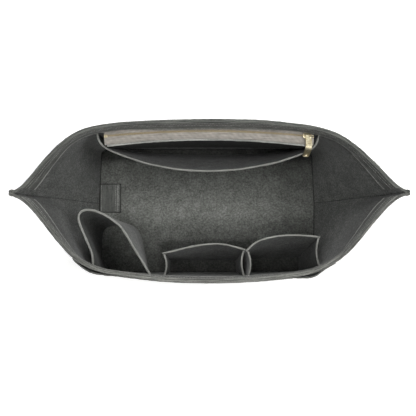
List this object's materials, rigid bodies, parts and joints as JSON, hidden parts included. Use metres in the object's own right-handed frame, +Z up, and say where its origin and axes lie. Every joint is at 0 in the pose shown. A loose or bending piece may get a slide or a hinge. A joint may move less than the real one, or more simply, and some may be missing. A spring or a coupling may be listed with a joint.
{
  "type": "purse organizer insert",
  "caption": "Felt tote liner open at the top, ends drawn out to points, with a zipped pocket, a slip pocket, gusseted pockets and a bottle holder.",
  "frame": {"origin": "middle of the base on the surface it stands on", "axes": "+Z up, +X towards the right-hand point, -Y towards the front wall with the gusseted pockets"},
  "size_m": [0.469, 0.1978, 0.1753],
  "materials": {
    "felt_wall": "matte",
    "felt_hem": "matte",
    "felt_base": "matte",
    "felt_pocket": "matte",
    "felt_holder": "matte",
    "woven_tab": "matte",
    "zipper_tape": "matte",
    "zipper_teeth": "satin",
    "gold_metal": "satin"
  },
  "bodies": {
    "liner": {"front_wall": "felt_wall", "front_hem_facing": "felt_hem", "back_wall": "felt_wall", "back_hem_facing": "felt_hem", "base_panel": "felt_base", "zipper_tape_rear": "zipper_tape", "zipper_tape_front": "zipper_tape", "zipper_teeth_rear": "zipper_teeth", "zipper_top_stop_rear": "gold_metal", "zipper_teeth_front": "zipper_teeth", "zipper_top_stop_front": "gold_metal", "zipper_bottom_stop": "gold_metal", "zip_pocket_panel": "felt_pocket", "slip_pocket_panel": "felt_pocket", "front_pocket_a_panel": "felt_pocket", "front_pocket_a_gusset_left": "felt_pocket", "front_pocket_a_gusset_right": "felt_pocket", "front_pocket_b_panel": "felt_pocket", "front_pocket_b_gusset_left": "felt_pocket", "front_pocket_b_gusset_right": "felt_pocket", "bottle_holder": "felt_holder", "outer_pocket_panel": "felt_wall"},
    "slider": {"slider_body": "gold_metal", "slider_pin": "gold_metal"},
    "pull": {"pull_tab": "gold_metal"},
    "tab": {"base_tab": "woven_tab"}
  },
  "joints": [
    {"name": "zip_travel", "type": "hinge", "parent": "liner", "child": "slider", "pos_m": [0, -1.14141, 0.15], "axis": [0, 0, 1], "range_deg": [0, 11]},
    {"name": "pull_swing", "type": "hinge", "parent": "slider", "child": "pull", "pos_m": [0.119, 0.08051, 0.154], "axis": [-0.9953, 0.0969, 0], "range_deg": [0, 90]},
    {"name": "base_tab_lift", "type": "hinge", "parent": "liner", "child": "tab", "pos_m": [-0.162, 0.018, 0.0053], "axis": [0, -1, 0], "range_deg": [0, 90]}
  ]
}
